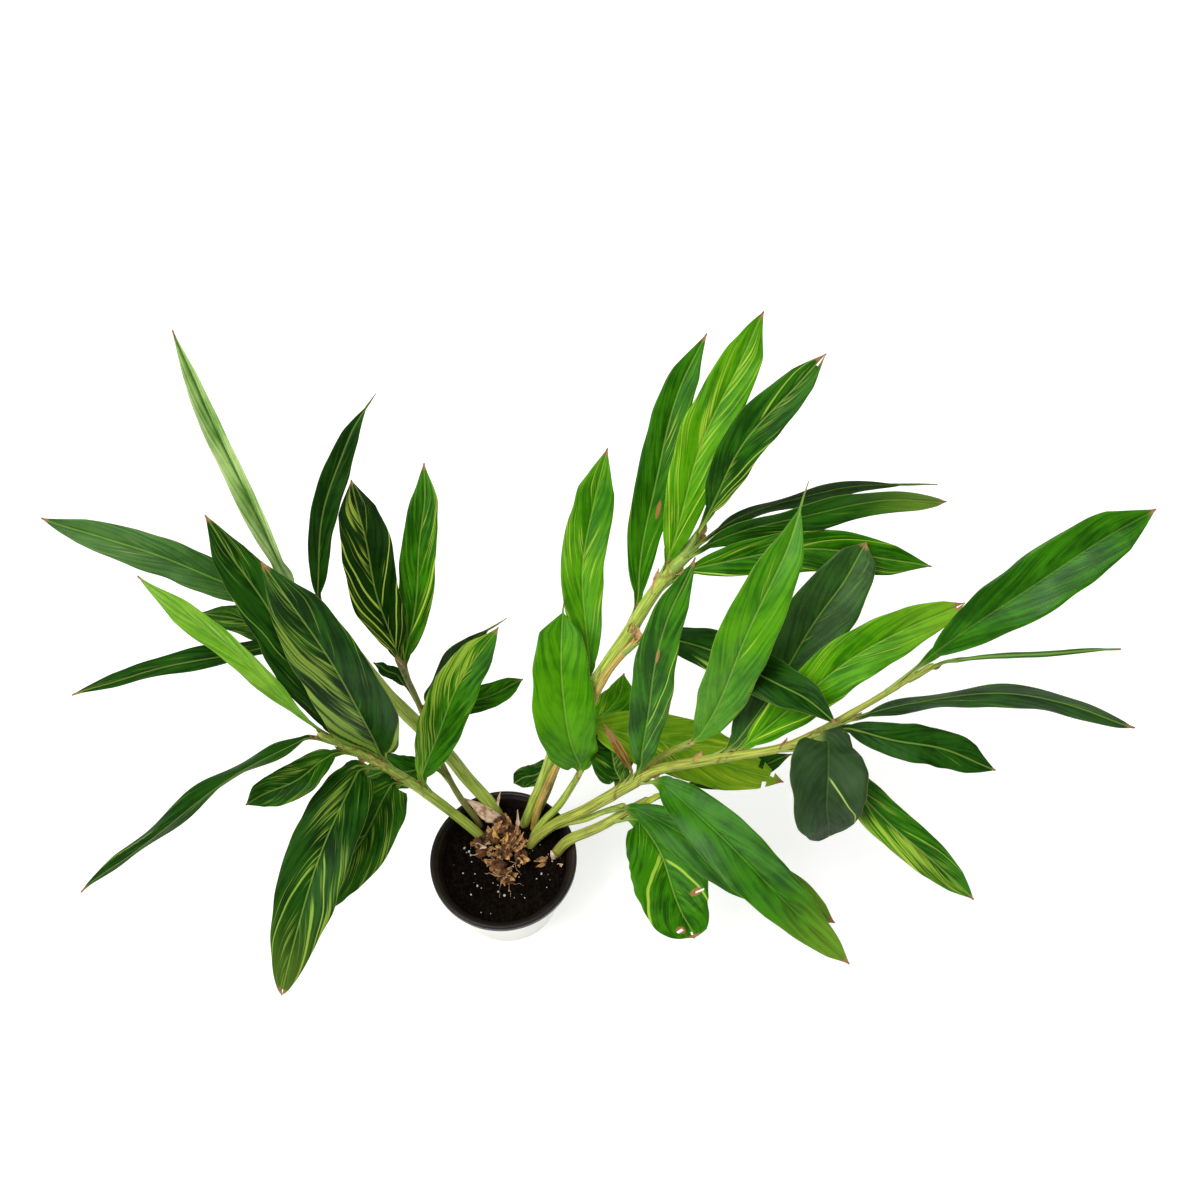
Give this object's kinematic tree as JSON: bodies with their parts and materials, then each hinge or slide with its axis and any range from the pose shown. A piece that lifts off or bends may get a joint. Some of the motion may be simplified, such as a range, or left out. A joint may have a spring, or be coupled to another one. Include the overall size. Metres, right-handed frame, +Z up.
{
  "type": "potted shell ginger plant",
  "caption": "Variegated shell ginger with arching leafy canes from a knobbly rootstock, in a dark nursery pot inside a pale outer pot that stands on its flat foot.",
  "frame": {"origin": "middle of the outer pot's foot, on the surface it stands on", "axes": "+Z up, +X along the plant's widest spread, -Y towards the side that the leaves face"},
  "size_m": [0.9307, 0.487, 0.5912],
  "materials": {
    "outer_pot": "smooth pale grey-white, softly glossy",
    "nursery_pot": "thin dark brown plastic with a rolled rim, slightly glossy",
    "soil": "near-black damp potting mix of bark and peat with white specks",
    "rhizome": "dry tan and brown knobbly rootstock with papery scales",
    "green_cane": "smooth pale yellow-green leaf sheaths",
    "gold_cane": "golden yellow-green sheaths with fine brown streaks",
    "brown_cane": "dull olive-brown sheaths",
    "dried_leaf": "dry, curled, tan-brown",
    "light_leaf": "satin bright green with yellow streaks along the side veins",
    "fresh_leaf": "glossy mid green with a pale midrib and yellow streaks",
    "dark_leaf": "glossy dark green with yellow streaks along the side veins"
  },
  "bodies": {
    "root": {"outer_pot": "outer_pot", "nursery_pot": "nursery_pot", "soil": "soil", "rhizome": "rhizome", "left_cane": "green_cane", "upper_left_cane": "green_cane", "back_left_cane": "brown_cane", "middle_cane": "green_cane", "middle_side_cane": "gold_cane", "young_shoot": "green_cane", "right_cane": "green_cane", "lower_right_cane": "gold_cane", "back_cane": "brown_cane", "left_leaf_1": "light_leaf", "left_leaf_2": "dark_leaf", "left_leaf_3": "dark_leaf", "left_leaf_4": "dark_leaf", "left_leaf_5": "dark_leaf", "left_leaf_6": "dark_leaf", "left_leaf_7": "dark_leaf", "left_leaf_8": "light_leaf", "upper_left_leaf_1": "light_leaf", "upper_left_leaf_2": "dark_leaf", "upper_left_leaf_3": "dark_leaf", "upper_left_leaf_4": "dark_leaf", "upper_left_leaf_5": "dark_leaf", "upper_left_leaf_6": "fresh_leaf", "back_left_leaf_1": "dark_leaf", "back_left_leaf_2": "fresh_leaf", "back_left_leaf_3": "dark_leaf", "back_left_leaf_4": "dark_leaf", "middle_leaf_1": "fresh_leaf", "middle_leaf_2": "dark_leaf", "middle_leaf_3": "light_leaf", "middle_leaf_4": "fresh_leaf", "middle_leaf_5": "dark_leaf", "middle_leaf_6": "dark_leaf", "middle_leaf_7": "fresh_leaf", "side_leaf_1": "light_leaf", "side_leaf_2": "dark_leaf", "shoot_leaf": "light_leaf", "right_leaf_1": "dark_leaf", "right_leaf_2": "dark_leaf", "right_leaf_3": "light_leaf", "right_leaf_4": "fresh_leaf", "right_leaf_5": "light_leaf", "right_leaf_6": "dark_leaf", "right_leaf_7": "dark_leaf", "right_leaf_8": "dark_leaf", "right_leaf_9": "light_leaf", "right_leaf_10": "fresh_leaf", "right_leaf_11": "dark_leaf", "branch_leaf": "light_leaf", "sheath_leaf": "fresh_leaf", "low_leaf_1": "dark_leaf", "low_leaf_2": "dark_leaf", "back_leaf_1": "dark_leaf", "back_leaf_2": "fresh_leaf", "dried_strip": "dried_leaf"}
  },
  "joints": []
}
